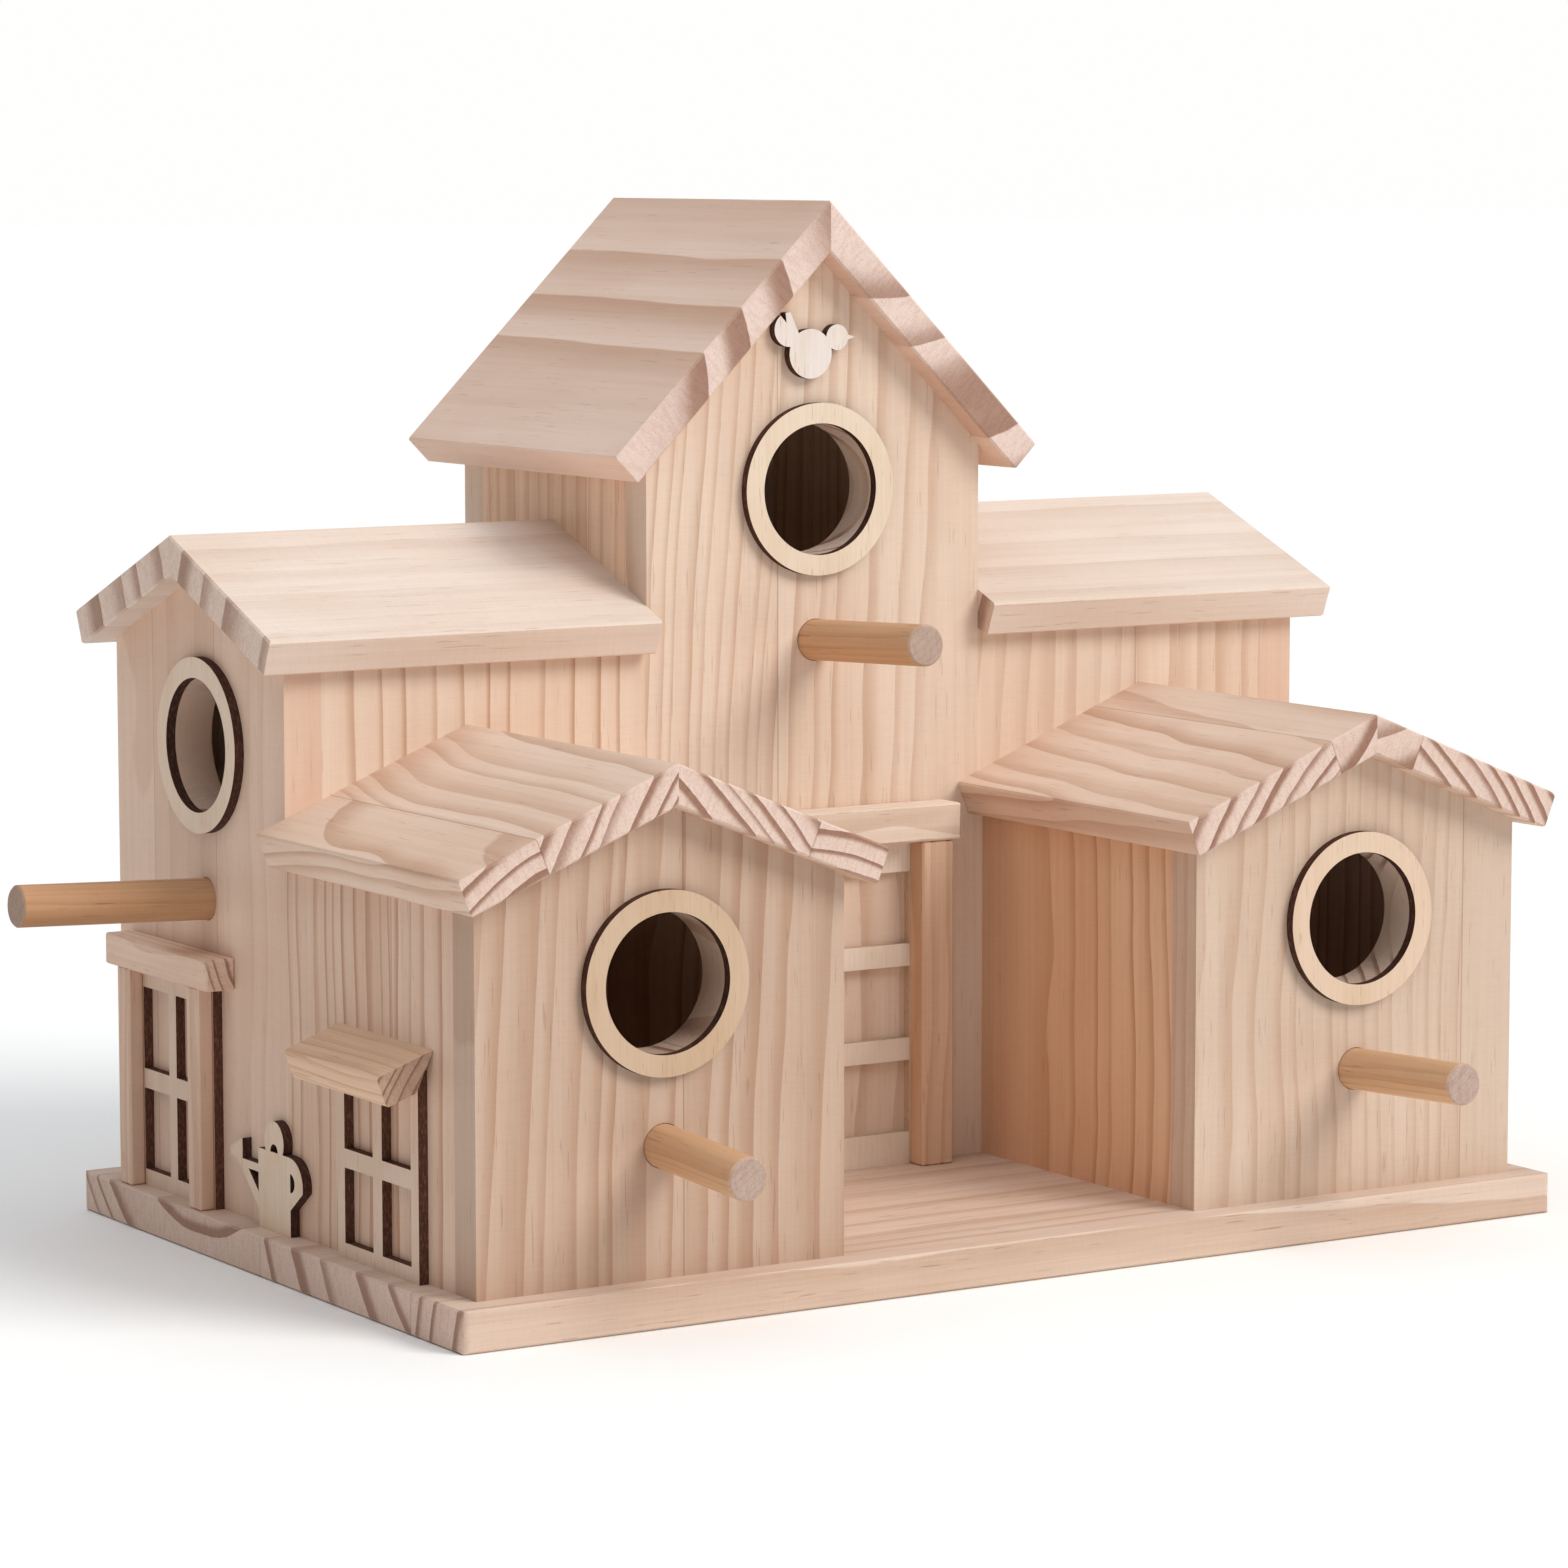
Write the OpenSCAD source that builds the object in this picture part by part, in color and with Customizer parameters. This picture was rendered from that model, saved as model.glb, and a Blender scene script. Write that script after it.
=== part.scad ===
// Wooden nest box: five small gabled houses glued up on one base board.
// Two low houses stand in front, two taller ones behind them at the sides,
// and a tower stands in the middle. All sizes are in millimetres.
// The origin is the centre of the base board's underside, +Y to the back.

/* [Base board] */
// Length of the base board, left to right
base_w = 380; // [340:1:440]
// Depth of the base board, front to back
base_d = 245; // [225:1:290]
// Thickness of the base board
base_t = 12; // [6:0.5:25]
// Bare strip of base left around the houses
base_margin = 9.5; // [9:0.5:16]
// Corner radius of the base board
base_corner_r = 2.5; // [1:0.5:8]

/* [Boards] */
// Thickness of the wall boards
wall_t = 12; // [6:0.5:16]
// Thickness of the roof boards
roof_t = 11; // [6:0.5:16]
// Thickness of the plywood trims and rings
ply_t = 3; // [2:0.5:5]
// Width of the small chamfer on sanded edges
edge_ease = 0.6; // [0.2:0.1:1]

/* [Front houses] */
// Width of a front house
front_house_w = 119; // [108:1:130]
// Depth of the front row, from its gables to the back row
front_house_d = 113; // [100:1:120]
// Height of a front house's side walls at their outer face
front_wall_h = 109.5; // [95:0.5:125]
// Height of the entrance centre above the base board
front_hole_h = 83.5; // [78:0.5:92]

/* [Back houses] */
// Height of a back house's front and back walls at their outer face
back_wall_h = 165.5; // [160:0.5:180]
// Height of the entrance centre above the base board
back_hole_h = 138; // [130:0.5:150]
// How far the back entrances and perches sit in front of the gable's middle
back_hole_shift = 4; // [-8:0.5:8]

/* [Tower] */
// Width of the tower
tower_w = 119; // [108:1:130]
// Height of the tower's side walls at their outer face
tower_wall_h = 222.5; // [212:0.5:240]
// Height of the entrance centre above the base board
tower_hole_h = 210.5; // [200:0.5:220]

/* [Roofs] */
// Slope of the house roofs, in degrees
house_pitch = 22; // [16:0.5:30]
// Slope of the tower roof, in degrees
tower_pitch = 45; // [38:0.5:50]
// How far a roof runs past a gable
gable_out = 9; // [4:0.5:14]
// How far a house roof runs past a side wall, measured level
eave_out = 9.5; // [5:0.5:14]
// How far the tower roof runs past its side walls, measured level
tower_eave_out = 15.5; // [12:0.5:20]

/* [Entrances] */
// Diameter of the round entrances
hole_d = 40; // [28:1:46]
// Width of the flat band of an entrance ring
ring_band = 6.2; // [4:0.1:8]

/* [Perches] */
// Diameter of the perches
perch_d = 12.5; // [8:0.5:16]
// Length of a perch
perch_l = 74; // [70:1:90]
// Distance from an entrance centre down to its perch
perch_drop = 46; // [40:0.5:52]
// Play of a perch in its bored hole, across the diameter
perch_play = 0.4; // [0.2:0.1:0.6]
// How far the front left perch stands out
front_left_perch_out = 45.5; // [40:0.5:65]
// Rise of the front left perch, in degrees
front_left_perch_rise = -2.8; // [-3:0.1:3]
// How far the front right perch stands out
front_right_perch_out = 52; // [40:0.5:65]
// Rise of the front right perch, in degrees
front_right_perch_rise = 2.9; // [-3:0.1:3]
// How far the back perches stand out
back_perch_out = 61.5; // [40:0.5:65]
// Rise of the back perches, in degrees
back_perch_rise = 2.1; // [-3:0.1:3]
// How far the tower perch stands out
tower_perch_out = 61.5; // [40:0.5:65]
// Rise of the tower perch, in degrees
tower_perch_rise = 2.7; // [-3:0.1:3]

/* [Side doors] */
// Distance from a back house's front corner to the middle of its door
side_door_from_corner = 71; // [66:0.5:76]
// Height of the door below its lintel
side_door_h = 67; // [56:0.5:72]
// Width over the door's jambs
side_door_w = 56; // [46:0.5:60]
// Width of a side door's jamb
side_jamb_w = 8; // [6:0.5:10]
// Thickness of a side door's jamb
side_jamb_t = 5; // [3:0.5:6]
// Height and depth of a side door's lintel
side_lintel = 9.5; // [9:0.5:11]
// Length of a side door's lintel
side_lintel_l = 70; // [62:0.5:74]
// How far a side door's lintel sits forward of the door's middle
side_lintel_shift = 2; // [0:0.5:4]
// Width of the upright bar in a side door's grid
side_door_bar = 5; // [3:0.5:7]
// Height of the middle and top bars in a side door's grid
side_door_rail = 6; // [3:0.5:8]
// Height of the bottom bar in a side door's grid
side_door_foot_rail = 5; // [3:0.5:8]

/* [Porch door] */
// Height of the door below its lintel
porch_door_h = 101.5; // [90:0.5:110]
// Bare strip of tower on each side of the door, up to the front house
porch_door_gap = 17.5; // [14:0.5:24]
// Width of the porch door's jambs
porch_jamb_w = 11.5; // [8:0.5:13]
// Thickness of the porch door's jambs
porch_jamb_t = 7.5; // [5:0.5:8]
// Height of the porch door's lintel
porch_lintel_h = 11.3; // [8:0.1:14]
// Depth of the porch door's lintel
porch_lintel_d = 11.5; // [11:0.5:14]
// How far the porch door's lintel runs past each jamb
porch_lintel_out = 2; // [0.5:0.5:3]
// Width of the upright bar in the porch door's grid
porch_door_bar = 7; // [4:0.5:9]
// Height of the cross bars in the porch door's grid
porch_door_rail = 7; // [4:0.5:9]
// Height of the porch door grid's top and bottom rails
porch_door_end_rail = 10; // [6:0.5:14]

/* [Windows] */
// Distance from a front house's front corner to the middle of its window
window_from_corner = 52; // [40:0.5:56]
// Width of the window grid
window_w = 49; // [40:0.5:52]
// Height of the window grid
window_h = 60; // [52:0.5:66]
// Width of the window grid's outer bars
window_frame_bar = 4.5; // [3:0.5:6]
// Width of the window grid's middle bars
window_mid_bar = 5.5; // [3:0.5:7]
// Height of the window grid's top rail, most of it under the awning
window_top_rail = 6.5; // [5:0.5:12]

/* [Awnings] */
// Length of an awning
awning_l = 56.5; // [50:0.5:60]
// Depth of an awning, down its slope
awning_d = 18.8; // [15:0.1:22]
// Thickness of an awning
awning_t = 9; // [6:0.5:10]
// Slope of an awning, in degrees
awning_pitch = 20; // [12:0.5:28]
// Angle of the mitre at an awning's back, in degrees
awning_mitre = 45; // [40:0.5:48]

/* [Watering cans] */
// Distance from a back house's front plane forward to a can's front corner
can_forward = 6.5; // [0:0.5:10]
// Width of a can's body
can_w = 20.5; // [17:0.5:22]
// Height of a can's body
can_h = 23.5; // [22:0.5:28]
// Radius of the loop on a can's top
can_loop_r = 6.2; // [5:0.1:7.5]
// Height of the loop's middle above the can's body
can_loop_rise = 3; // [1:0.5:4]
// Radius of the half-round hole under the loop
can_loop_hole_r = 2.4; // [1.5:0.1:3]
// Radius of the handle on a can's side
can_handle_r = 8; // [7:0.1:9]
// Height of the handle's middle
can_handle_h = 15.4; // [15:0.1:16.5]
// Radius of the hole in the handle
can_handle_hole_r = 2.8; // [2:0.1:4]
// Slope of the handle's straight underside, in degrees
can_handle_slope = 37; // [30:1:45]
// Height at which a can's spout leaves its body
can_spout_low = 5.5; // [3:0.5:8]
// Height of the underside of a can's rose
can_rose_low = 18; // [16:0.5:20]
// Reach of a can's spout, from its body to the rose
can_spout_l = 14; // [11:0.5:16]
// Half the width of a can's rose
can_rose_r = 4.4; // [3.5:0.1:5.5]
// Width of a can's spout
can_web = 3.6; // [3:0.1:4.2]

/* [Bird cut-out] */
// Distance from the tower's ridge top down to the bird's middle
bird_drop = 46; // [42:0.5:50]
// How far the middle of the bird's body sits left of the tower's middle
bird_left = 3.5; // [0:0.5:6]
// Radius of the bird's body
bird_body_r = 7.5; // [6:0.1:9]
// Radius of the bird's head
bird_head_r = 3.9; // [3.2:0.1:4.5]
// How far the head's middle is to the right of the body's
bird_head_out = 9.5; // [8:0.1:10]
// How far the head's middle is above the body's
bird_head_up = 4.8; // [3.5:0.1:6]
// Length of the bird's beak, past its head
bird_beak_l = 2.5; // [1.5:0.5:4]
// Radius of the round side of the bird's raised tail
bird_tail_r = 5.2; // [4.5:0.1:6]
// How far that round side's middle is to the left of the body's middle
bird_tail_out = 7.6; // [7:0.1:8.5]
// How far that round side's middle is above the body's middle
bird_tail_up = 7.4; // [6.5:0.1:8]
// Depth of the notch in the tail's tip
bird_notch_d = 3; // [2:0.1:4]
// Width of the notch in the tail's tip
bird_notch_w = 3.2; // [2:0.1:4]

/* [Hidden] */
$fn = 64;

// Colours of the bare wood
base_colour = [0.87, 0.75, 0.60];
wall_colour = [0.89, 0.77, 0.64];
roof_colour = [0.86, 0.72, 0.59];
trim_colour = [0.84, 0.70, 0.56];
ply_colour = [0.91, 0.83, 0.72];
perch_colour = [0.80, 0.62, 0.42];

// Planes that the houses share
side_x = base_w / 2 - base_margin;
front_y = -base_d / 2 + base_margin;
mid_y = front_y + front_house_d;
back_y = base_d / 2 - base_margin;
back_house_d = back_y - mid_y;
front_house_x = side_x - front_house_w / 2;
porch_w = 2 * (side_x - front_house_w);
back_house_y = (mid_y + back_y) / 2;
tower_side_x = tower_w / 2;
back_house_w = side_x - tower_side_x;
porch_door_w = porch_w - 2 * porch_door_gap;

// Tops of the roofs' ridges
front_ridge_z = ridge_top(front_house_w, front_wall_h, house_pitch);
back_ridge_z = ridge_top(back_house_d, back_wall_h, house_pitch);
tower_ridge_z = ridge_top(tower_w, tower_wall_h, tower_pitch);

// Openings of the grids, side by side and one above the other
grid_columns = 2;
side_door_rows = 2;
porch_door_rows = 3;
window_rows = 2;

// Turn of the bird's tail from upright
bird_tail_turn = 25;

// Extra length of a cutting tool past the face that it cuts
overcut = 2;

function ridge_top(span, wall_h, pitch) =
    base_t + wall_h + span / 2 * tan(pitch) + roof_t / cos(pitch);

// Placing: local x runs to the right along a face, y up and z out of it
module front_face(x, y, z) {
    translate([x, y, z])
        rotate([90, 0, 0])
            children();
}

module left_face(y, z) {
    translate([-side_x, y, z])
        rotate([90, 0, -90])
            children();
}

module right_side() {
    mirror([1, 0, 0])
        children();
}

// Rectangle from the origin with its four corners chamfered
module eased_rectangle(w, h) {
    e = edge_ease;
    polygon([
        [e, 0], [w - e, 0], [w, e], [w, h - e],
        [w - e, h], [e, h], [0, h - e], [0, e]
    ]);
}

// Block from the origin with all its edges chamfered
module eased_block(w, d, h) {
    intersection() {
        linear_extrude(h)
            eased_rectangle(w, d);
        translate([0, d, 0])
            rotate([90, 0, 0])
                linear_extrude(d)
                    eased_rectangle(w, h);
        rotate([90, 0, 90])
            linear_extrude(w)
                eased_rectangle(d, h);
    }
}

// Base board
module base_plan() {
    r = base_corner_r;
    square([base_w - 2 * r, base_d], center = true);
    square([base_w, base_d - 2 * r], center = true);
    for (x = [-1, 1], y = [-1, 1])
        translate([x * (base_w / 2 - r), y * (base_d / 2 - r)])
            circle(r);
}

module base_board() {
    color(base_colour)
        intersection() {
            linear_extrude(base_t)
                base_plan();
            translate([-base_w / 2, -base_d / 2, 0])
                eased_block(base_w, base_d, base_t);
        }
}

// Walls
module gable_solid(w, h, pitch) {
    translate([0, 0, -wall_t])
        linear_extrude(wall_t)
            polygon([
                [-w / 2, 0], [w / 2, 0], [w / 2, h],
                [0, h + w / 2 * tan(pitch)], [-w / 2, h]
            ]);
}

// Gable board with its entrance and the bore for its perch
module entrance_board(w, h, pitch, hole_x, hole_h, perch_rise) {
    bore_l = wall_t + 2 * overcut;
    color(wall_colour)
        difference() {
            gable_solid(w, h, pitch);
            translate([hole_x, hole_h, overcut - bore_l])
                cylinder(h = bore_l, d = hole_d);
            translate([hole_x, hole_h - perch_drop, 0])
                rotate([-perch_rise, 0, 0])
                    translate([0, 0, overcut - bore_l])
                        cylinder(h = bore_l, d = perch_d + perch_play);
        }
}

// Wall board whose top is bevelled to carry the roof; its outer face is at x = 0
module side_board(length, h, pitch) {
    color(wall_colour)
        rotate([90, 0, 0])
            linear_extrude(length)
                polygon([
                    [0, 0], [wall_t, 0],
                    [wall_t, h + wall_t * tan(pitch)], [0, h]
                ]);
}

// Section of a roof board, from its mitred ridge down to its eave
module roof_section(slope_l, pitch) {
    e = edge_ease;
    polygon([
        [0, 0], [slope_l - e, 0], [slope_l, -e],
        [slope_l, e - roof_t], [slope_l - e, -roof_t],
        [roof_t * tan(pitch), -roof_t]
    ]);
}

// Side view of a roof board along its ridge; a butted far end keeps its corners
module roof_end_view(length, far_e) {
    e = edge_ease;
    polygon([
        [e, 0], [length - far_e, 0], [length, -far_e],
        [length, far_e - roof_t], [length - far_e, -roof_t],
        [e, -roof_t], [0, e - roof_t], [0, -e]
    ]);
}

// Roof board down the +X side of a ridge that runs along +Y from the origin
module roof_board(run, pitch, length, far_e) {
    slope_l = run / cos(pitch);
    color(roof_colour)
        rotate([0, pitch, 0])
            intersection() {
                translate([0, length, 0])
                    rotate([90, 0, 0])
                        linear_extrude(length)
                            roof_section(slope_l, pitch);
                rotate([90, 0, 90])
                    linear_extrude(slope_l)
                        roof_end_view(length, far_e);
            }
}

// Entrance ring and perch, on a face
module entrance_ring() {
    color(ply_colour)
        difference() {
            cylinder(h = ply_t, d = hole_d + 2 * ring_band);
            translate([0, 0, -overcut])
                cylinder(h = ply_t + 2 * overcut, d = hole_d);
        }
}

module perch(out, rise) {
    r = perch_d / 2;
    e = edge_ease;
    color(perch_colour)
        rotate([-rise, 0, 0])
            translate([0, 0, out - perch_l])
                rotate_extrude()
                    polygon([
                        [0, 0], [r - e, 0], [r, e],
                        [r, perch_l - e], [r - e, perch_l], [0, perch_l]
                    ]);
}

// Front house, built for the left side
module front_gable(perch_rise) {
    front_face(-front_house_x, front_y, base_t)
        entrance_board(front_house_w, front_wall_h, house_pitch, 0, front_hole_h, perch_rise);
}

module front_outer_wall() {
    translate([-side_x, mid_y, base_t])
        side_board(front_house_d - wall_t, front_wall_h, house_pitch);
}

module front_inner_wall() {
    translate([front_house_w - side_x, mid_y, base_t])
        mirror([1, 0, 0])
            side_board(front_house_d - wall_t, front_wall_h, house_pitch);
}

module front_inner_roof() {
    translate([-front_house_x, front_y - gable_out, front_ridge_z])
        roof_board(front_house_w / 2 + eave_out, house_pitch, front_house_d + gable_out, 0);
}

module front_outer_roof() {
    translate([-front_house_x, front_y - gable_out, front_ridge_z])
        mirror([1, 0, 0])
            roof_board(front_house_w / 2 + eave_out, house_pitch, front_house_d + gable_out, 0);
}

module front_ring() {
    front_face(-front_house_x, front_y, base_t + front_hole_h)
        entrance_ring();
}

module front_perch(out, rise) {
    front_face(-front_house_x, front_y, base_t + front_hole_h - perch_drop)
        perch(out, rise);
}

module front_right_perch() {
    right_side()
        front_perch(front_right_perch_out, front_right_perch_rise);
}

// Back house, built for the left side
module back_gable() {
    left_face(back_house_y, base_t)
        entrance_board(back_house_d, back_wall_h, house_pitch,
            back_hole_shift, back_hole_h, back_perch_rise);
}

module back_front_wall() {
    translate([wall_t - side_x, mid_y, base_t])
        rotate([0, 0, 90])
            side_board(back_house_w - wall_t, back_wall_h, house_pitch);
}

module back_front_roof() {
    translate([-side_x - gable_out, back_house_y, back_ridge_z])
        rotate([0, 0, -90])
            roof_board(back_house_d / 2 + eave_out, house_pitch, back_house_w + gable_out, 0);
}

module to_back_of_back_house() {
    translate([0, 2 * back_house_y, 0])
        mirror([0, 1, 0])
            children();
}

module back_back_wall() {
    to_back_of_back_house()
        back_front_wall();
}

module back_back_roof() {
    to_back_of_back_house()
        back_front_roof();
}

module back_ring() {
    left_face(back_house_y - back_hole_shift, base_t + back_hole_h)
        entrance_ring();
}

module back_perch() {
    left_face(back_house_y - back_hole_shift, base_t + back_hole_h - perch_drop)
        perch(back_perch_out, back_perch_rise);
}

// Tower
module tower_front() {
    front_face(0, mid_y, base_t)
        entrance_board(tower_w, tower_wall_h, tower_pitch, 0, tower_hole_h, tower_perch_rise);
}

module tower_back() {
    color(wall_colour)
        front_face(0, back_y - wall_t, base_t)
            gable_solid(tower_w, tower_wall_h, tower_pitch);
}

module tower_left_wall() {
    translate([-tower_side_x, back_y - wall_t, base_t])
        side_board(back_house_d - 2 * wall_t, tower_wall_h, tower_pitch);
}

module tower_right_roof() {
    translate([0, mid_y - gable_out, tower_ridge_z])
        roof_board(tower_side_x + tower_eave_out, tower_pitch,
            back_house_d + 2 * gable_out, edge_ease);
}

module tower_ring() {
    front_face(0, mid_y, base_t + tower_hole_h)
        entrance_ring();
}

module tower_perch() {
    front_face(0, mid_y, base_t + tower_hole_h - perch_drop)
        perch(tower_perch_out, tower_perch_rise);
}

// Plywood grid that stands on its bottom rail, its middle at x = 0
module pane_grid(w, h, stile, bar, bottom, top, rail, rows) {
    pane_w = (w - 2 * stile - (grid_columns - 1) * bar) / grid_columns;
    pane_h = (h - bottom - top - (rows - 1) * rail) / rows;
    color(ply_colour)
        linear_extrude(ply_t)
            difference() {
                translate([-w / 2, 0])
                    square([w, h]);
                for (i = [0 : grid_columns - 1], j = [0 : rows - 1])
                    translate([stile - w / 2 + i * (pane_w + bar), bottom + j * (pane_h + rail)])
                        square([pane_w, pane_h]);
            }
}

// Door on a back house's gable, built for the left side
module side_door_place() {
    left_face(mid_y + side_door_from_corner, base_t)
        children();
}

module side_door_grid() {
    side_door_place()
        pane_grid(side_door_w, side_door_h, side_jamb_w, side_door_bar,
            side_door_foot_rail, side_door_rail, side_door_rail, side_door_rows);
}

module side_jamb(x) {
    color(trim_colour)
        side_door_place()
            translate([x, 0, ply_t])
                eased_block(side_jamb_w, side_door_h, side_jamb_t);
}

module side_front_jamb() {
    side_jamb(side_door_w / 2 - side_jamb_w);
}

module side_back_jamb() {
    side_jamb(-side_door_w / 2);
}

module side_door_lintel() {
    color(trim_colour)
        side_door_place()
            translate([side_lintel_shift - side_lintel_l / 2, side_door_h, 0])
                eased_block(side_lintel_l, side_lintel, side_lintel);
}

// Door on the tower, at the back of the porch
module porch_door_grid() {
    front_face(0, mid_y, base_t)
        pane_grid(porch_door_w, porch_door_h, porch_jamb_w, porch_door_bar,
            porch_door_end_rail, porch_door_end_rail, porch_door_rail, porch_door_rows);
}

module porch_left_jamb() {
    color(trim_colour)
        front_face(-porch_door_w / 2, mid_y - ply_t, base_t)
            eased_block(porch_jamb_w, porch_door_h, porch_jamb_t);
}

module porch_door_lintel() {
    lintel_l = porch_door_w + 2 * porch_lintel_out;
    color(trim_colour)
        front_face(-lintel_l / 2, mid_y, base_t + porch_door_h)
            eased_block(lintel_l, porch_lintel_h, porch_lintel_d);
}

// Window and its awning, built for the left side
module window_place(h) {
    left_face(front_y + window_from_corner, base_t + h)
        children();
}

module window_grid() {
    window_place(0)
        pane_grid(window_w, window_h, window_frame_bar, window_mid_bar,
            window_frame_bar, window_top_rail, window_mid_bar, window_rows);
}

// The awning's tip touches the wall and its mitre rests on the grid's top edge
module awning() {
    tip_rise = ply_t * tan(awning_pitch + awning_mitre);
    e = edge_ease;
    color(trim_colour)
        window_place(window_h + tip_rise)
            translate([awning_l / 2, 0, 0])
                rotate([0, -90, 0])
                    linear_extrude(awning_l)
                        rotate(-awning_pitch)
                            polygon([
                                [0, 0], [awning_d - e, 0], [awning_d, -e],
                                [awning_d, e - awning_t], [awning_d - e, -awning_t],
                                [awning_t / tan(awning_mitre), -awning_t]
                            ]);
}

// Watering can cut from plywood, its front bottom corner at the origin
module can_body() {
    translate([-can_w, 0])
        square([can_w, can_h]);
}

// The body covers the lower half of the hole
module can_loop() {
    translate([-can_w / 2, can_h])
        difference() {
            translate([0, can_loop_rise])
                circle(can_loop_r);
            circle(can_loop_hole_r);
        }
}

module can_handle() {
    difference() {
        translate([0, can_handle_h])
            circle(can_handle_r);
        translate([0, can_handle_h + edge_ease])
            circle(can_handle_hole_r);
        translate([0, can_handle_h - can_handle_r + edge_ease])
            rotate(can_handle_slope)
                translate([-can_handle_r, -2 * can_handle_r])
                    square([3 * can_handle_r, 2 * can_handle_r]);
    }
}

module can_spout() {
    neck_x = -can_w - can_spout_l;
    root_x = can_web - can_w;
    rose_top = can_rose_low + 2 * can_web;
    polygon([
        [root_x, can_spout_low],
        [root_x, can_rose_low + edge_ease],
        [neck_x + can_web, can_rose_low + edge_ease],
        [neck_x + can_web, rose_top - edge_ease],
        [neck_x - can_rose_r, rose_top - can_web - edge_ease],
        [neck_x - can_rose_r, can_rose_low + edge_ease],
        [neck_x, can_rose_low],
        [-can_w, can_spout_low]
    ]);
}

// Gap between the spout, its upper stay and the body
module can_spout_gap() {
    stay_low = can_rose_low - can_web / 2;
    slope = (can_rose_low - can_spout_low) / can_spout_l;
    gap_low = can_spout_low + can_web * slope;
    gap_x = can_web / 2 - can_w;
    polygon([
        [gap_x, gap_low],
        [gap_x, stay_low],
        [gap_x - (stay_low - gap_low) / slope, stay_low]
    ]);
}

module watering_can() {
    color(ply_colour)
        left_face(mid_y - can_forward, base_t)
            linear_extrude(ply_t)
                union() {
                    can_body();
                    can_loop();
                    can_handle();
                    difference() {
                        can_spout();
                        can_spout_gap();
                    }
                }
}

// Small bird cut from plywood, facing right, the middle of its body at the origin
module bird_head() {
    beak = [0, bird_head_r / 2];
    translate([bird_head_out, bird_head_up]) {
        circle(bird_head_r);
        polygon([-beak, [bird_head_r + bird_beak_l, 0], beak]);
    }
}

module bird_tail() {
    r = bird_tail_r;
    translate([-bird_tail_out, bird_tail_up])
        rotate(bird_tail_turn)
            difference() {
                circle(r);
                polygon([
                    [0, r - bird_notch_d],
                    [bird_notch_w / 2, r + overcut],
                    [-bird_notch_w / 2, r + overcut]
                ]);
                translate([r / 2, -r])
                    square(2 * r);
            }
}

module bird_cutout() {
    color(ply_colour)
        front_face(-bird_left, mid_y, tower_ridge_z - bird_drop)
            linear_extrude(ply_t)
                union() {
                    circle(bird_body_r);
                    bird_head();
                    bird_tail();
                }
}

base_board();
front_gable(front_left_perch_rise);  // front_left_gable
front_outer_wall();  // front_left_outer_wall
front_inner_wall();  // front_left_inner_wall
front_outer_roof();  // front_left_outer_roof
front_inner_roof();  // front_left_inner_roof
front_ring();  // front_left_ring
front_perch(front_left_perch_out, front_left_perch_rise);  // front_left_perch
right_side() front_gable(front_right_perch_rise);  // front_right_gable
right_side() front_outer_wall();  // front_right_outer_wall
right_side() front_inner_wall();  // front_right_inner_wall
right_side() front_outer_roof();  // front_right_outer_roof
right_side() front_inner_roof();  // front_right_inner_roof
right_side() front_ring();  // front_right_ring
front_right_perch();
back_gable();  // back_left_gable
back_front_wall();  // back_left_front_wall
back_back_wall();  // back_left_back_wall
back_front_roof();  // back_left_front_roof
back_back_roof();  // back_left_back_roof
back_ring();  // back_left_ring
back_perch();  // back_left_perch
right_side() back_gable();  // back_right_gable
right_side() back_front_wall();  // back_right_front_wall
right_side() back_back_wall();  // back_right_back_wall
right_side() back_front_roof();  // back_right_front_roof
right_side() back_back_roof();  // back_right_back_roof
right_side() back_ring();  // back_right_ring
right_side() back_perch();  // back_right_perch
tower_front();
tower_back();
tower_left_wall();
right_side() tower_left_wall();  // tower_right_wall
right_side() tower_right_roof();  // tower_left_roof
tower_right_roof();
tower_ring();
tower_perch();
side_door_grid();  // left_door_grid
side_front_jamb();  // left_door_front_jamb
side_back_jamb();  // left_door_back_jamb
side_door_lintel();  // left_door_lintel
right_side() side_door_grid();  // right_door_grid
right_side() side_front_jamb();  // right_door_front_jamb
right_side() side_back_jamb();  // right_door_back_jamb
right_side() side_door_lintel();  // right_door_lintel
porch_door_grid();
porch_left_jamb();  // porch_door_left_jamb
right_side() porch_left_jamb();  // porch_door_right_jamb
porch_door_lintel();
window_grid();  // left_window_grid
awning();  // left_window_awning
right_side() window_grid();  // right_window_grid
right_side() awning();  // right_window_awning
watering_can();  // left_watering_can
right_side() watering_can();  // right_watering_can
bird_cutout();
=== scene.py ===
import itertools
import math

import bpy
from mathutils import Matrix, Vector


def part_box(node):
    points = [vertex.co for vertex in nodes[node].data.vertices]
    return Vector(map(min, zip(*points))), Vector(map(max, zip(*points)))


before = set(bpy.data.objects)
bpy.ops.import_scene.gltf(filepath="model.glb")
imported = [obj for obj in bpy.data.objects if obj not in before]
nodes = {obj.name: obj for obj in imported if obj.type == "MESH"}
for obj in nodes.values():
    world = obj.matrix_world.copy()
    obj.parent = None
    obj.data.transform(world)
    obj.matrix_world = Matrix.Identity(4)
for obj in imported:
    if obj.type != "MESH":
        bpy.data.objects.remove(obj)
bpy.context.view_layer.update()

# Slopes of the roofs and awnings, in degrees
HOUSE_PITCH = 22.0
TOWER_PITCH = 45.0
AWNING_PITCH = 20.0

X = Vector((1, 0, 0))
Y = Vector((0, 1, 0))
Z = Vector((0, 0, 1))

# Directions across a board with upright grain, and out of its face
FRONT = X, -Y
LEFT = Y, -X
RIGHT = Y, X

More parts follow.
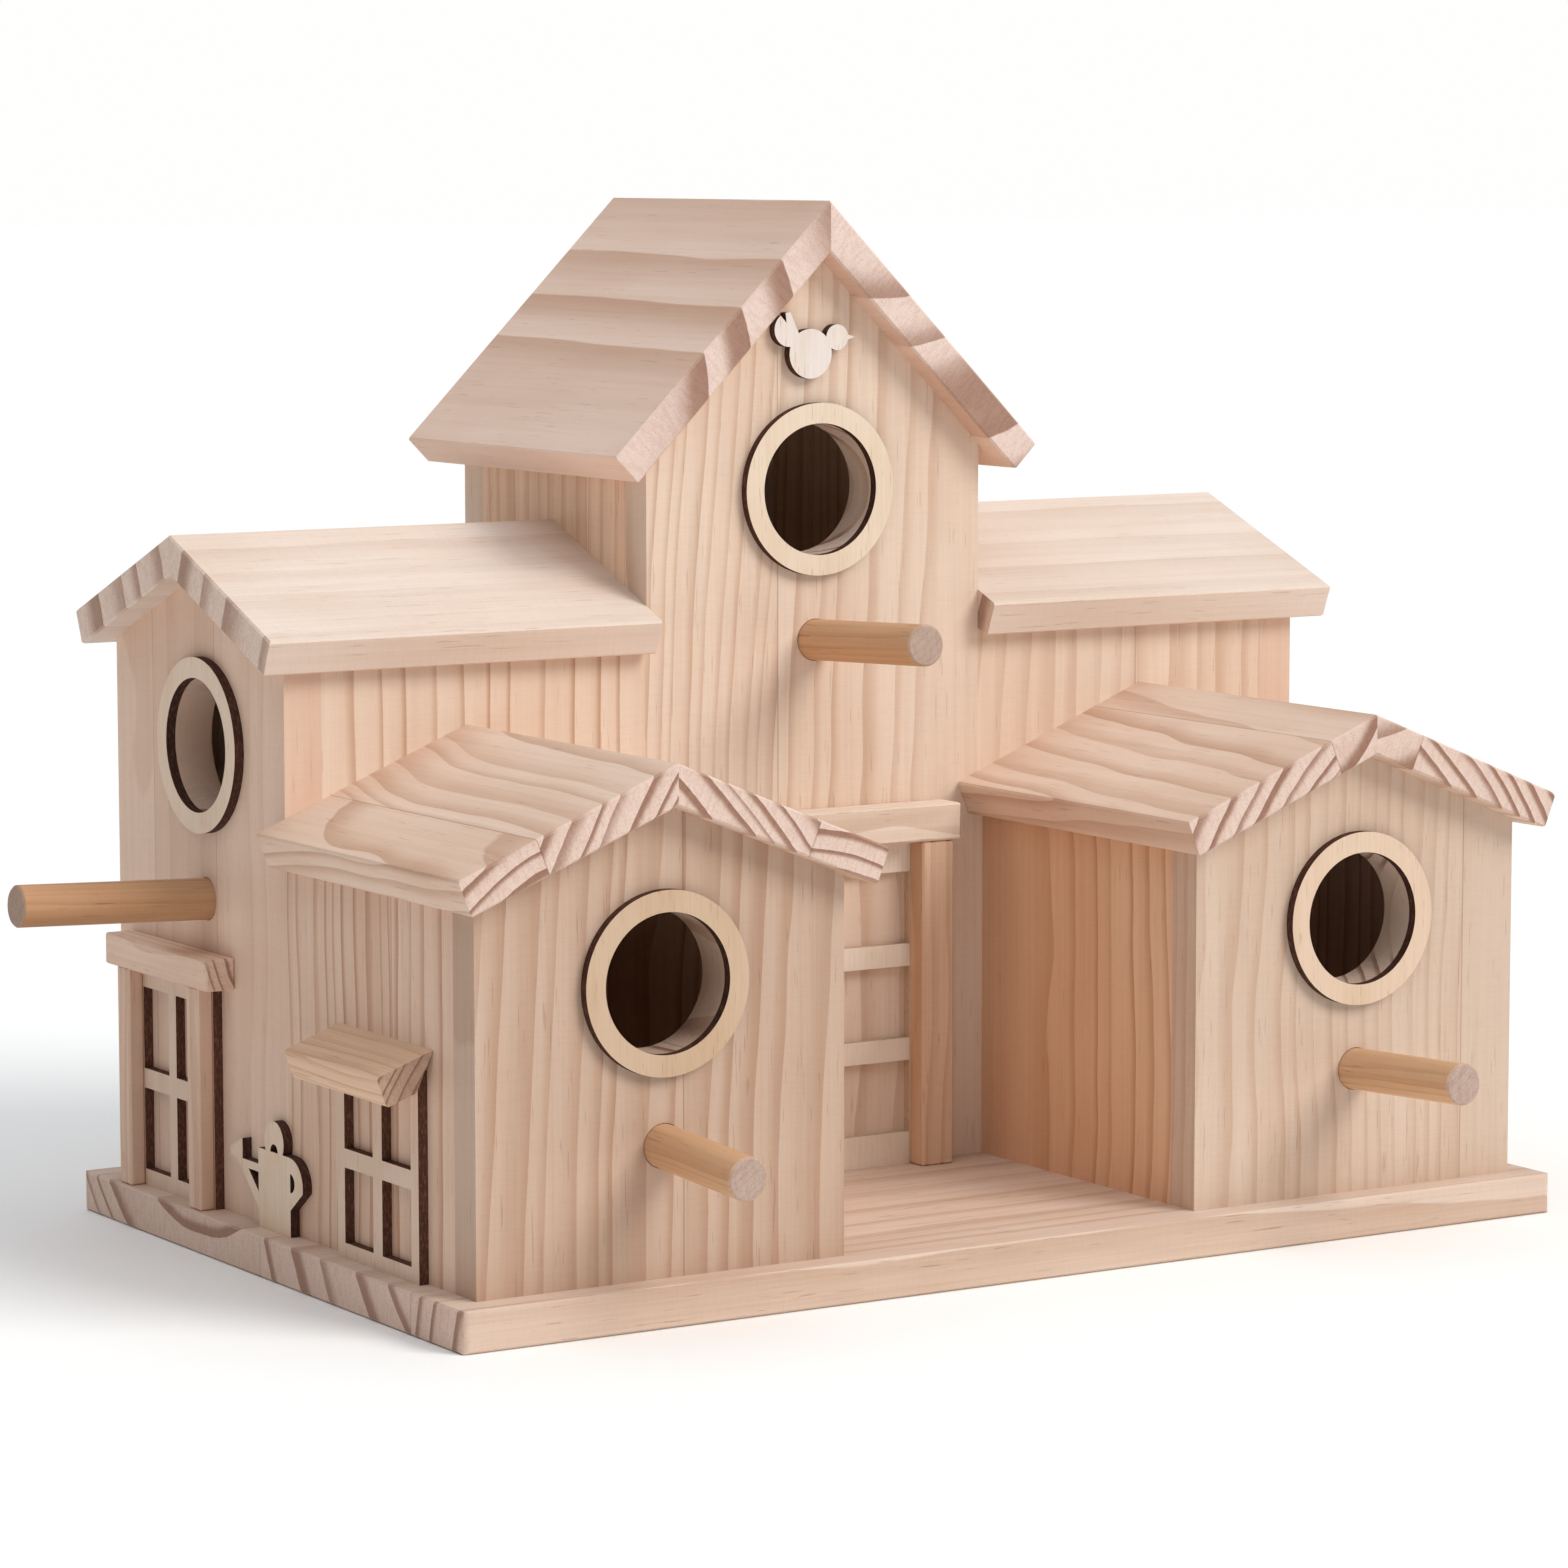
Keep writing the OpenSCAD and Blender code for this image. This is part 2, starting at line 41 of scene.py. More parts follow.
# Millimetres in a metre, and half the thickness of each kind of board in millimetres
MM = 1000.0
HALF_WALL = 6.0
HALF_ROOF = 5.5
HALF_TRIM = 4.0
HALF_LINTEL = 5.0

# Depth of the surface's relief in millimetres, and its faint gloss
PINE_BUMP = 0.09
PLY_BUMP = 0.05
WOOD_SPECULAR = 0.30

# Distance from a seam where a board has none
NO_SEAM = 100.0


def rgba(r, g, b):
    return (r, g, b, 1.0)


class Tree:
    """Short ways to add and link the nodes of one tree."""

    def __init__(self, tree):
        self.tree = tree

    def add(self, kind, **settings):
        n = self.tree.nodes.new(kind)
        for name, value in settings.items():
            setattr(n, name, value)
        return n

    def put(self, socket, value):
        if isinstance(value, bpy.types.NodeSocket):
            self.tree.links.new(value, socket)
        elif value is not None:
            socket.default_value = value

    def math(self, operation, a, b=None, c=None):
        n = self.add("ShaderNodeMath", operation=operation)
        for socket, value in zip(n.inputs, (a, b, c)):
            self.put(socket, value)
        return n.outputs[0]

    def sum(self, first, *others):
        for value in others:
            first = self.math("ADD", first, value)
        return first

    def product(self, first, *others):
        for value in others:
            first = self.math("MULTIPLY", first, value)
        return first

    def ramp(self, value, low, high, to_low=0.0, to_high=1.0):
        n = self.add("ShaderNodeMapRange", interpolation_type="SMOOTHSTEP")
        for socket, v in zip(n.inputs, (value, low, high, to_low, to_high)):
            self.put(socket, v)
        return n.outputs[0]

    def noise(self, point, scale, detail=2.0, rough=0.5):
        n = self.add("ShaderNodeTexNoise")
        self.put(n.inputs["Vector"], self.vector("MULTIPLY", point, scale))
        n.inputs["Scale"].default_value = 1.0
        n.inputs["Detail"].default_value = detail
        n.inputs["Roughness"].default_value = rough
        return n.outputs["Fac"]

    def sway(self, point, scale, size):
        """Noise about zero, mostly from -size to size."""
        middled = self.math("SUBTRACT", self.noise(point, scale, 1.5), 0.5)
        return self.math("MULTIPLY", middled, size * 4)

    def vector(self, operation, a, b):
        n = self.add("ShaderNodeVectorMath", operation=operation)
        self.put(n.inputs[0], a)
        self.put(n.inputs[1], b)
        return n.outputs[0]

    def join(self, x, y, z):
        n = self.add("ShaderNodeCombineXYZ")
        for socket, v in zip(n.inputs, (x, y, z)):
            self.put(socket, v)
        return n.outputs[0]

    def split(self, vector):
        n = self.add("ShaderNodeSeparateXYZ")
        self.put(n.inputs[0], vector)
        return n.outputs

    def mix(self, factor, a, b, blend="MIX"):
        n = self.add("ShaderNodeMix", data_type="RGBA", blend_type=blend)
        self.put(n.inputs[0], factor)
        self.put(n.inputs[6], a)
        self.put(n.inputs[7], b)
        return n.outputs[2]

    def tint(self, factor, color, by):
        """Multiplies the colour by another one, as far as the factor says."""
        return self.mix(factor, color, by, "MULTIPLY")

    def random(self, x, y):
        n = self.add("ShaderNodeTexWhiteNoise", noise_dimensions="2D")
        self.put(n.inputs["Vector"], self.join(x, y, 0.0))
        return n.outputs["Value"]

    def pick(self, steps, values):
        """One value for each strip, where a step turns from 0 to 1 at each seam."""
        result = values[0]
        for step, before, after in zip(steps, values, values[1:]):
            if before != after:
                result = self.math("MULTIPLY_ADD", step, after - before, result)
        return result


GROUP_OUTPUTS = {"Color": "NodeSocketColor", "Roughness": "NodeSocketFloat", "Height": "NodeSocketFloat"}


def make_group(name, inputs):
    """A node group whose inputs are vectors, colours or numbers, by their starting values."""
    group = bpy.data.node_groups.new(name, "ShaderNodeTree")
    for label, value in inputs.items():
        kind = "NodeSocketFloat"
        if value is None:
            kind = "NodeSocketVector"
        elif isinstance(value, tuple):
            kind = "NodeSocketColor"
        s = group.interface.new_socket(label, in_out="INPUT", socket_type=kind)
        if value is not None:
            s.default_value = value
    for label, kind in GROUP_OUTPUTS.items():
        group.interface.new_socket(label, in_out="OUTPUT", socket_type=kind)
    t = Tree(group)
    return t, t.add("NodeGroupInput").outputs, t.add("NodeGroupOutput").inputs


# Inputs of the pine group, with their starting values in millimetres
PINE_INPUTS = {
    "Point": None, "Normal": None, "Seed": 0.0, "Strip": 0.0, "Pith x": 0.0, "Pith y": 0.0,
    "Ring": 6.0, "Tone": 1.0, "Seam": NO_SEAM, "Lean x": 0.0, "Lean y": 0.02, "Warp": 2.0,
    "Contrast": 0.8, "Start": 0.45, "End contrast": 0.9, "Fibre": 1.0,
    "Wood": rgba(0.80, 0.60, 0.47), "Cut": rgba(0.97, 0.96, 0.98),
}

# Tints of the pine's face, each multiplied into its colour
LATE_WOOD = rgba(0.66, 0.49, 0.37)
GLOW = rgba(0.80, 0.70, 0.62)
FIBRE = rgba(0.78, 0.68, 0.60)
STREAK = rgba(0.88, 0.80, 0.73)
CANAL = rgba(0.48, 0.32, 0.24)
SAW_MARK = rgba(0.90, 0.86, 0.83)
CLOUD = rgba(0.95, 0.91, 0.88)
GLUE_LINE = rgba(0.45, 0.34, 0.28)

# Tints of its end grain
CUT_LATE_WOOD = rgba(0.50, 0.37, 0.31)
CUT_GLOW = rgba(0.70, 0.58, 0.52)
CUT_PORE = rgba(0.66, 0.56, 0.51)
CUT_RAY = rgba(0.86, 0.79, 0.76)


def pine_rings(t, gin, place, shift):
    """The sharp late wood of each growth ring, and the soft glow that leads up to it."""
    x, y, z = t.split(gin["Point"])
    ring = gin["Ring"]

    # Distance from the pith, with the wandering of the trunk
    elsewhere = t.vector("ADD", place, (50.0, 90.0, 20.0))
    dx = t.sum(x, t.product(gin["Pith x"], -1.0), t.product(z, gin["Lean x"]))
    dy = t.sum(y, t.product(gin["Pith y"], -1.0), t.product(z, gin["Lean y"]))
    dx = t.sum(dx, t.product(t.sway(place, (0.010, 0.010, 0.011), 1.0), gin["Warp"]))
    dy = t.sum(dy, t.product(t.sway(elsewhere, (0.010, 0.010, 0.013), 1.0), gin["Warp"]))
    dist = t.math("SQRT", t.sum(t.product(dx, dx), t.product(dy, dy)))
    small = t.sum(t.sway(place, (0.06, 0.06, 0.022), 0.35), t.sway(place, (0.24, 0.24, 0.030), 0.12))

    # Uneven ring widths, and a strength for each ring
    ring_place = t.join(t.math("DIVIDE", dist, ring), shift, 0.0)
    widths = t.product(t.sway(ring_place, (0.45, 1.0, 1.0), 0.60), ring)
    rings = t.math("DIVIDE", t.sum(dist, small, widths), ring)
    phase = t.math("FRACT", rings)
    strength = t.math("MULTIPLY_ADD", t.random(t.math("FLOOR", rings), shift), 0.50, 0.50)
    late = t.product(t.ramp(phase, gin["Start"], 0.97), t.ramp(phase, 1.0, 0.975), strength)
    glow = t.product(t.math("POWER", phase, 1.6), strength)
    return late, glow


def pine_face(t, gin, place, late, glow, fibre, canal, marks):
    """Colour of a face along the grain."""
    streak = t.noise(place, (0.33, 0.33, 0.006), 2.0, 0.5)
    cloud = t.noise(place, (0.022, 0.022, 0.010), 2.0, 0.5)
    grain = gin["Fibre"]
    face = t.tint(t.product(late, gin["Contrast"]), gin["Wood"], LATE_WOOD)
    face = t.tint(t.product(glow, gin["Contrast"], 0.5), face, GLOW)
    face = t.tint(t.product(t.ramp(fibre, 0.35, 0.72, 0.0, 0.24), grain), face, FIBRE)
    face = t.tint(t.product(t.ramp(streak, 0.42, 0.66, 0.0, 0.38), grain), face, STREAK)
    face = t.tint(t.product(canal, grain, 0.42), face, CANAL)
    face = t.tint(t.ramp(marks, 0.40, 0.70, 0.0, 0.22), face, SAW_MARK)
    return t.tint(t.ramp(cloud, 0.38, 0.66), face, CLOUD)


def pine_cut(t, gin, late, glow, pores, shift):
    """Colour of the end grain, with rays across its rings."""
    x, y, _ = t.split(gin["Point"])
    rays = t.noise(t.join(t.product(x, 0.9), t.product(y, 0.22), shift), (1.0, 1.0, 1.0), 2.0)
    cut = t.tint(1.0, gin["Wood"], gin["Cut"])
    cut = t.tint(t.product(t.ramp(late, 0.10, 0.70), gin["End contrast"]), cut, CUT_LATE_WOOD)
    cut = t.tint(t.product(glow, gin["End contrast"], 0.55), cut, CUT_GLOW)
    cut = t.tint(t.ramp(pores, 0.45, 0.72, 0.0, 0.55), cut, CUT_PORE)
    return t.tint(t.ramp(rays, 0.40, 0.68, 0.0, 0.5), cut, CUT_RAY)


def pine_group():
    """Solid pine: x across the board, y out of its face, z along the grain.

    Growth rings lie about a pith. Noise scales are waves in a millimetre along those axes.
    """
    t, gin, gout = make_group("pine", PINE_INPUTS)
    shift = t.math("MULTIPLY_ADD", gin["Strip"], 3.7, t.product(gin["Seed"], 7.3))
    offset = t.join(t.product(shift, 31.0), t.product(shift, 17.0), t.product(shift, 23.0))
    place = t.vector("ADD", gin["Point"], offset)
    late, glow = pine_rings(t, gin, place, shift)

    # Fibres, resin canals, saw marks and pores
    fibre = t.noise(place, (1.1, 1.1, 0.018), 3.0, 0.62)
    canal = t.ramp(t.noise(place, (1.5, 1.5, 0.075), 1.0, 0.4), 0.685, 0.76)
    marks = t.noise(place, (0.16, 0.16, 1.6), 2.0, 0.6)
    pores = t.noise(place, (1.7, 1.7, 1.7), 4.0, 0.75)

    # End grain shows where the face looks along the grain
    end = t.ramp(t.math("ABSOLUTE", t.split(gin["Normal"])[2]), 0.55, 0.8)
    face = pine_face(t, gin, place, late, glow, fibre, canal, marks)
    cut = pine_cut(t, gin, late, glow, pores, shift)
    color = t.mix(end, face, cut)

    # Each strip has a tone of its own, which on the back perches is painted shade, and a thin glue line
    tone_and_shade = gin["Tone"]
    color = t.tint(1.0, color, t.join(tone_and_shade, t.math("POWER", tone_and_shade, 1.25), t.math("POWER", tone_and_shade, 1.5)))
    seam = t.ramp(gin["Seam"], 0.34, 0.06)
    t.put(gout["Color"], t.tint(t.product(seam, 0.45), color, GLUE_LINE))

    # Late wood is smoother and stands out, and end grain is rough
    rough = t.math("MULTIPLY_ADD", late, -0.08, t.math("MULTIPLY_ADD", end, 0.16, 0.58))
    t.put(gout["Roughness"], t.math("MULTIPLY_ADD", fibre, 0.14, rough))
    height = t.sum(t.product(fibre, 0.6), t.product(late, 0.35), t.product(marks, 0.25))
    height = t.sum(height, t.product(canal, -0.5), t.product(pores, end, 1.1), t.product(seam, -0.9))
    t.put(gout["Height"], height)
    return t.tree


# Inputs of the plywood group, and the tints of its face
PLY_INPUTS = {
    "Point": None,
    "Normal": None,
    "Seed": 0.0,
    "Face": rgba(0.88, 0.72, 0.54),
    "Burnt": rgba(0.050, 0.017, 0.011),
    "Scorched": rgba(0.17, 0.070, 0.040),
}
PLY_FIBRE = rgba(0.84, 0.76, 0.66)
PLY_DASH = rgba(0.55, 0.40, 0.28)
PLY_CLOUD = rgba(0.95, 0.92, 0.87)


def ply_group():
    """Thin plywood: pale faces, and edges browned where it was cut."""
    t, gin, gout = make_group("plywood", PLY_INPUTS)
    shift = t.product(gin["Seed"], 7.9)
    point = t.vector("ADD", gin["Point"], t.join(shift, t.product(shift, 3.0), t.product(shift, 5.0)))
    edge = t.ramp(t.math("ABSOLUTE", t.split(gin["Normal"])[1]), 0.8, 0.5)
    fibre = t.noise(point, (1.2, 1.2, 0.04), 3.0, 0.6)
    dash = t.ramp(t.noise(point, (1.6, 1.6, 0.13), 1.0), 0.66, 0.74)
    cloud = t.noise(point, (0.07, 0.07, 0.03), 2.0)
    layer = t.noise(point, (0.5, 1.9, 0.5), 3.0, 0.7)
    face = t.tint(t.ramp(fibre, 0.34, 0.72, 0.0, 0.32), gin["Face"], PLY_FIBRE)
    face = t.tint(t.product(dash, 0.35), face, PLY_DASH)
    face = t.tint(t.ramp(cloud, 0.4, 0.7), face, PLY_CLOUD)
    burnt = t.mix(t.ramp(layer, 0.46, 0.72, 0.0, 0.9), gin["Burnt"], gin["Scorched"])
    t.put(gout["Color"], t.mix(edge, face, burnt))
    t.put(gout["Roughness"], t.math("MULTIPLY_ADD", edge, 0.20, t.math("MULTIPLY_ADD", fibre, 0.12, 0.55)))
    t.put(gout["Height"], t.sum(fibre, t.product(layer, edge)))
    return t.tree


GROUPS = {"pine": pine_group(), "ply": ply_group()}


class Material:
    """Wood of one piece, with axes of its own: across the board, out of its face and along the grain.

    They start at the first corner of the piece's box, on its outer face.
    """

    def __init__(self, node, kind, across, through, bump, values):
        mat = bpy.data.materials.new(kind + "_" + node)
        mat.use_nodes = True
        mat.node_tree.nodes.clear()
        self.t = Tree(mat.node_tree)
        self.group = self.t.add("ShaderNodeGroup")
        self.group.node_tree = GROUPS[kind]
        self.point = self.place(node, across.normalized(), through.normalized())
        for label, value in values.items():
            self.t.put(self.group.inputs[label.replace("_", " ")], value)
        self.shade(bump)
        slots = nodes[node].data.materials
        if not slots:
            slots.append(mat)
        for i in range(len(slots)):
            slots[i] = mat

    def place(self, node, across, through):
        """Gives the group its point and normal in the piece's own axes, and returns the point."""
        t = self.t
        turn = Matrix((across, through, across.cross(through)))
        where = t.add("ShaderNodeTexCoord")
        point = t.add("ShaderNodeMapping", vector_type="POINT")
        facing = t.add("ShaderNodeMapping", vector_type="VECTOR")
        for n in (point, facing):
            n.inputs["Rotation"].default_value = turn.to_euler()
        point.inputs["Location"].default_value = turn @ self.corner(node, across, through) * -MM
        point.inputs["Scale"].default_value = (MM, MM, MM)
        t.put(point.inputs["Vector"], where.outputs["Object"])
        t.put(facing.inputs["Vector"], where.outputs["Normal"])
        t.put(self.group.inputs["Point"], point.outputs[0])
        t.put(self.group.inputs["Normal"], facing.outputs[0])
        return point.outputs[0]

    def corner(self, node, across, through):
        """The first corner across the board, on its outer face, and lowest along the grain."""
        low, high = (Vector(v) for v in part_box(node))
        corners = [Vector(c) for c in itertools.product(*zip(low, high))]
        grain = across.cross(through)

        def order(c):
            return round(across.dot(c), 5), -round(through.dot(c), 5), grain.dot(c)

        return min(corners, key=order)

    def shade(self, bump):
        t, outputs = self.t, self.group.outputs
        b = t.add("ShaderNodeBump")
        b.inputs["Strength"].default_value = 1.0
        b.inputs["Distance"].default_value = bump / MM
        t.put(b.inputs["Height"], outputs["Height"])
        s = t.add("ShaderNodeBsdfPrincipled")
        s.inputs["Specular IOR Level"].default_value = WOOD_SPECULAR
        t.put(s.inputs["Base Color"], outputs["Color"])
        t.put(s.inputs["Roughness"], outputs["Roughness"])
        t.put(s.inputs["Normal"], b.outputs[0])
        t.put(t.add("ShaderNodeOutputMaterial").inputs["Surface"], s.outputs[0])

    def glue(self, strips, half):
        """Sets the glued strips of a board.

        Each has its width, the direction to its pith in degrees, the pith's distance from
        the strip's middle, its ring width and its tone.
        """
        t, put = self.t, self.group.inputs
        x = t.split(self.point)[0]
        widths, turns, far, rings, tones = zip(*strips)
        seams = list(itertools.accumulate(widths))
        middles = [seam - width / 2 for seam, width in zip(seams, widths)]
        steps = [t.math("GREATER_THAN", x, seam) for seam in seams[:-1]]
        pith_x = [m + d * math.cos(math.radians(a)) for m, d, a in zip(middles, far, turns)]
        pith_y = [d * math.sin(math.radians(a)) - half for d, a in zip(far, turns)]
        t.put(put["Pith x"], t.pick(steps, pith_x))
        t.put(put["Pith y"], t.pick(steps, pith_y))
        t.put(put["Ring"], t.pick(steps, rings))
        t.put(put["Tone"], t.pick(steps, tones))
        t.put(put["Strip"], t.pick(steps, [float(i) for i in range(len(strips))]))
        gap = NO_SEAM
        for seam in seams[:-1]:
            gap = t.math("MINIMUM", t.math("ABSOLUTE", t.math("SUBTRACT", x, seam)), gap)
        t.put(put["Seam"], gap)


# Makers of the two kinds of piece, where capital letters mark the inputs of the group
def board(node, across, through, seed, strips, half=HALF_WALL, **values):
    Material(node, "pine", across, through, PINE_BUMP, dict(values, Seed=seed)).glue(strips, half)


def ply(node, across, through, seed, **values):
    Material(node, "ply", across, through, PLY_BUMP, dict(values, Seed=seed))


def slope(side, pitch):
    """Directions down a slope that falls to this side, and out of its face."""
    a = math.radians(pitch)
    return side * math.cos(a) - Z * math.sin(a), side * math.sin(a) + Z * math.cos(a)


# Bare wood tones, where the straw and tan ones are also darkened as painted shade of the lower front
# gables
IVORY = rgba(0.86, 0.695, 0.57)
CREAM = rgba(0.86, 0.71, 0.58)
STRAW_AND_SHADE = rgba(0.69, 0.535, 0.425)
TAN_AND_SHADE = rgba(0.60, 0.435, 0.335)
PINK = rgba(0.79, 0.575, 0.45)
ROSE = rgba(0.83, 0.635, 0.51)
CHALK = rgba(0.82, 0.69, 0.60)
WARM = rgba(0.84, 0.56, 0.38)

# Base board, with its strips counted from the front
board(
    "base_board", Y, Z, 1.0,
    ((30, -165, 90, 9, 0.97), (93, 148, 140, 16, 1.0), (122, 108, 66, 11, 0.98)),
    Wood=rgba(0.77, 0.62, 0.52), Contrast=0.42, Start=0.55, Warp=1.6,
    End_contrast=0.85, Cut=rgba(1.0, 0.94, 0.94),
)

# Front houses: gables, then the side walls
# The gables' darker woods are partly their own tone and partly painted shade, deepest on the left gable
board(
    "front_left_gable", *FRONT, 2.0, ((66, 178, 150, 8, 1.0), (53, 168, 160, 9, 0.98)),
    Wood=TAN_AND_SHADE, Contrast=0.54, Lean_x=0.05, Start=0.25, Fibre=0.7,
)
board(
    "front_right_gable", *FRONT, 3.0, ((100, -145, 67, 5, 1.0), (19, 90, 120, 20, 0.97)),
    Wood=STRAW_AND_SHADE, Contrast=0.32, Start=0.50, Fibre=0.6,
)
WALL_STRIPS = ((36, 10, 150, 9, 1.01), (65, 170, 120, 6.8, 0.98))
for name, out, seed in (("front_left", -X, 4.0), ("front_right", X, 5.0)):
    board(name + "_outer_wall", Y, out, seed, WALL_STRIPS, Wood=PINK, Contrast=0.85, Start=0.6, Fibre=0.7)
    board(
        name + "_inner_wall", Y, -out, seed + 2, ((101, -60, 80, 6.5, 1.0),),
        Wood=WARM, Contrast=0.65, Start=0.6, Warp=2.4, Fibre=0.7,
    )

# Back houses
GABLE_STRIPS = ((45.5, 20, 90, 14, 1.0), (42, 150, 90, 15, 0.965), (25.5, 90, 90, 12, 1.01))
for name, out, seed in (("back_left", -X, 10.0), ("back_right", X, 11.0)):
    board(name + "_gable", Y, out, seed, GABLE_STRIPS, Wood=PINK, Contrast=0.20, Fibre=0.4)
board(
    "back_left_front_wall", *FRONT, 12.0, ((113, 180, 220, 9.5, 1.0),),
    Wood=IVORY, Contrast=0.85, Start=0.72, Warp=0.8, Fibre=0.5,
)
board(
    "back_right_front_wall", *FRONT, 13.0, ((60, -160, 120, 8.0, 1.0), (55, 20, 140, 9.0, 0.98)),
    Wood=IVORY, Contrast=0.40, Start=0.3, Fibre=0.6,
)
for name, seed, strips in (
    ("back_left_back_wall", 14.0, ((55, 200, 130, 8.5, 1.0), (60, 20, 120, 9, 0.97))),
    ("back_right_back_wall", 15.0, ((48, 160, 110, 8, 0.98), (67, -30, 90, 9, 1.0))),
):
    board(name, X, Y, seed, strips, Wood=CREAM, Contrast=0.42, Fibre=0.6)

# Tower
board(
    "tower_front", *FRONT, 16.0, ((46, 172, 130, 5.2, 1.0), (73, -45, 75, 6.6, 1.01)),
    Wood=rgba(0.82, 0.66, 0.54), Contrast=0.52, Lean_x=0.06, Fibre=0.6, Start=0.5,
)
board(
    "tower_back", X, Y, 17.0, ((40, 165, 120, 7, 1.0), (42, -40, 90, 7, 0.97), (37, 15, 120, 7, 1.0)),
    Wood=CREAM, Contrast=0.42, Fibre=0.6,
)
# The side walls' very pale warm wood is painted light, lightened past the wood's own tone against the
# shade under the tower roof
for name, out, seed in (("left", -X, 18.0), ("right", X, 19.0)):
    board(
        "tower_" + name + "_wall", Y, out, seed,
        ((24, 170, 110, 8, 1.0), (36, 190, 110, 9, 0.95), (40, 10, 110, 8, 1.0)),
        Wood=rgba(0.97, 0.71, 0.53), Contrast=0.45,
    )

# House roofs, with their strips counted down from the ridge
for name, side, seed, strips in (
    ("front_left_outer_roof", -X, 20.0, ((48.4, -130, 190, 5.3, 1.0), (26, -100, 60, 5.2, 0.98))),
    ("front_left_inner_roof", X, 21.0, ((50, -120, 190, 5.0, 1.0), (24.4, -84, 60, 5.2, 0.98))),
    ("front_right_inner_roof", -X, 22.0, ((18.5, 60, 60, 12, 0.98), (56, -122, 150, 5.6, 1.0))),
    ("front_right_outer_roof", X, 23.0, ((19, 120, 60, 12, 0.98), (55.4, -124, 150, 5.6, 1.0))),
):
    board(
        name, *slope(side, HOUSE_PITCH), seed, strips, half=HALF_ROOF,
        Wood=ROSE, Contrast=0.60, Lean_y=0.07, Warp=2.6, Start=0.35, Fibre=0.6,
        End_contrast=1.0, Cut=rgba(0.94, 0.95, 1.02),
    )
for name, side, seed in (
    ("back_left_front_roof", -Y, 24.0), ("back_left_back_roof", Y, 25.0),
    ("back_right_front_roof", -Y, 26.0), ("back_right_back_roof", Y, 27.0),
):
    board(
        name, *slope(side, HOUSE_PITCH), seed, ((71.2, 2, 130, 17.5, 1.0),), half=HALF_ROOF,
        Wood=CHALK, Contrast=0.20, Start=0.25, Warp=1.2, Fibre=0.6,
        End_contrast=0.8, Cut=rgba(0.97, 0.91, 0.88),
    )

# Tower roof
for name, side, seed, toward in (("tower_left_roof", -X, 28.0, 31), ("tower_right_roof", X, 29.0, 144)):
    board(
        name, *slope(side, TOWER_PITCH), seed, ((106, toward, 80, 21, 1.0),), half=HALF_ROOF,
        Wood=rgba(0.92, 0.70, 0.58), Contrast=0.62, Start=0.12, Warp=1.2, Fibre=0.6,
        End_contrast=0.95, Cut=rgba(0.90, 0.95, 1.02),
    )

# Jambs, lintels and awnings
DOOR_TRIM = {"half": HALF_TRIM, "Wood": PINK, "Contrast": 0.5}
for name, out, seed in (("left", -X, 31.0), ("right", X, 41.0)):
    board(name + "_door_front_jamb", Y, out, seed, ((30, 160, 60, 4, 1.0),), **DOOR_TRIM)
    board(name + "_door_back_jamb", Y, out, seed + 1, ((30, 10, 60, 4, 1.0),), **DOOR_TRIM)
    board(name + "_door_lintel", -Z, out, seed + 2, ((30, -125, 40, 3.5, 1.05),), **DOOR_TRIM)
    board(
        name + "_window_awning", *slope(out, AWNING_PITCH), seed + 3, ((30, -130, 90, 3.0, 1.0),),
        half=HALF_TRIM, Wood=rgba(0.87, 0.63, 0.45), Contrast=0.40, Warp=1.2,
        End_contrast=0.8, Cut=rgba(0.66, 0.62, 0.64),
    )
PORCH_JAMB = {"half": HALF_TRIM, "Wood": rgba(0.79, 0.57, 0.41), "Contrast": 0.4}
board("porch_door_left_jamb", *FRONT, 51.0, ((30, 150, 60, 5, 1.0),), **PORCH_JAMB)
board("porch_door_right_jamb", *FRONT, 52.0, ((30, 20, 60, 5, 1.0),), **PORCH_JAMB)
board(
    "porch_door_lintel", -Z, -Y, 53.0, ((30, -120, 45, 5, 1.0),),
    half=HALF_LINTEL, Wood=rgba(0.88, 0.76, 0.66), Contrast=0.4,
)

# Perches: which way each points, how far it rises in degrees, and its tone, which on the back perches is
# darkened as painted shade
PERCHES = {
    "front_left": (-Y, -2.8, 1.03),
    "front_right": (-Y, 2.9, 1.05),
    "tower": (-Y, 2.7, 1.0),
    "back_left": (-X, 2.1, 0.83),
    "back_right": (X, 2.1, 0.83),
}
# The back perches' tone of 0.83 is painted shade, not a darker wood
for i, (name, (out, rise, tone_and_shade)) in enumerate(PERCHES.items()):
    a = math.radians(rise)
    along = out * math.cos(a) + Z * math.sin(a)
    across = along.cross(Z).normalized()
    board(
        name + "_perch", across, along.cross(across), 60.0 + i, ((60, -100, 30, 2.4, tone_and_shade),),
        Wood=rgba(0.69, 0.43, 0.25), Contrast=0.30, Warp=0.5,
        End_contrast=0.12, Cut=rgba(0.72, 0.85, 1.20),
    )

